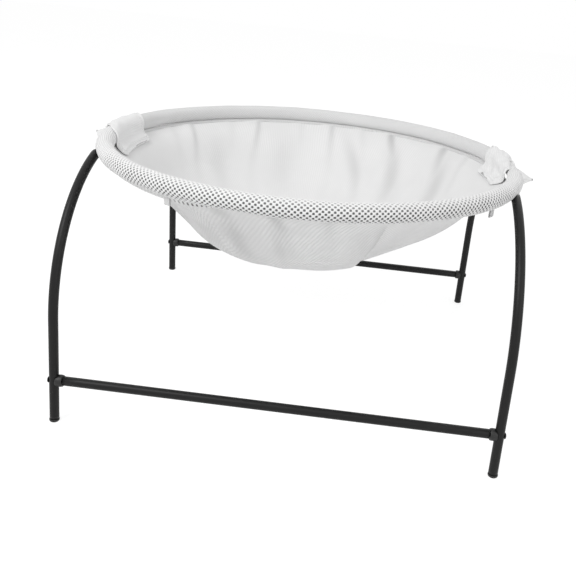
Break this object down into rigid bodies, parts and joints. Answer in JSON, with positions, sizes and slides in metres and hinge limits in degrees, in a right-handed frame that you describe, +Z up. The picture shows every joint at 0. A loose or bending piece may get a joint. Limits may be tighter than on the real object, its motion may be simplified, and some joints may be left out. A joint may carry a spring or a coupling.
{
  "type": "elevated cat bed",
  "caption": "Raised pet bed: a round mesh hammock bowl sewn to padded sleeves on a tube ring, carried by bent tube legs with cross-bars and plastic feet.",
  "frame": {"origin": "on the floor, below the middle of the ring and midway between the four feet", "axes": "+Z up, -Y towards the front cross-bar, +X towards the right-hand legs"},
  "size_m": [0.49, 0.47, 0.2683],
  "materials": {
    "coated_steel": "satin charcoal powder coat",
    "black_plastic": "moulded, matte black",
    "plated_steel": "zinc plated",
    "dark_screw": "black oxide",
    "spacer_mesh": "white knitted spacer mesh with rows of small holes",
    "bowl_mesh": "white close-knit mesh",
    "white_tape": "white woven tape"
  },
  "bodies": {
    "frame": {"front_half_ring": "coated_steel", "front_bar": "coated_steel", "back_half_ring": "coated_steel", "back_bar": "coated_steel", "front_left_leg": "coated_steel", "front_right_leg": "coated_steel", "back_left_leg": "coated_steel", "back_right_leg": "coated_steel", "front_left_foot_cap": "black_plastic", "front_right_foot_cap": "black_plastic", "back_left_foot_cap": "black_plastic", "back_right_foot_cap": "black_plastic", "front_left_bar_saddle": "black_plastic", "front_right_bar_saddle": "black_plastic", "back_left_bar_saddle": "black_plastic", "back_right_bar_saddle": "black_plastic", "front_left_bar_insert": "plated_steel", "front_right_bar_insert": "plated_steel", "back_left_bar_insert": "plated_steel", "back_right_bar_insert": "plated_steel", "front_left_bar_screw": "dark_screw", "front_right_bar_screw": "dark_screw", "back_left_bar_screw": "dark_screw", "back_right_bar_screw": "dark_screw", "front_left_top_screw": "dark_screw", "front_right_top_screw": "dark_screw", "back_left_top_screw": "dark_screw", "back_right_top_screw": "dark_screw", "front_left_rivet_nut": "plated_steel", "front_right_rivet_nut": "plated_steel", "back_left_rivet_nut": "plated_steel", "back_right_rivet_nut": "plated_steel", "left_ring_joint_insert": "plated_steel", "right_ring_joint_insert": "plated_steel", "left_ring_joint_screw": "dark_screw", "right_ring_joint_screw": "dark_screw", "front_sleeve": "spacer_mesh", "back_sleeve": "spacer_mesh", "hammock_bowl": "bowl_mesh", "rim_seam_binding": "white_tape", "left_cuff_base": "spacer_mesh", "left_loop_patch": "white_tape", "left_sleeve_ear": "spacer_mesh", "left_pull_tab": "white_tape", "right_cuff_base": "spacer_mesh", "right_loop_patch": "white_tape", "right_sleeve_ear": "spacer_mesh", "right_pull_tab": "white_tape"},
    "left_cuff": {"left_cuff_flap": "spacer_mesh", "left_hook_patch": "white_tape"},
    "right_cuff": {"right_cuff_flap": "spacer_mesh", "right_hook_patch": "white_tape"}
  },
  "joints": [
    {"name": "left_cuff_hinge", "type": "hinge", "parent": "frame", "child": "left_cuff", "pos_m": [-0.23588, 0.02938, 0.2566], "axis": [-0.1236, -0.9923, 0], "range_deg": [0, 120]},
    {"name": "right_cuff_hinge", "type": "hinge", "parent": "frame", "child": "right_cuff", "pos_m": [0.23074, 0.0571, 0.2566], "axis": [-0.2402, 0.9707, 0], "range_deg": [0, 120]}
  ]
}
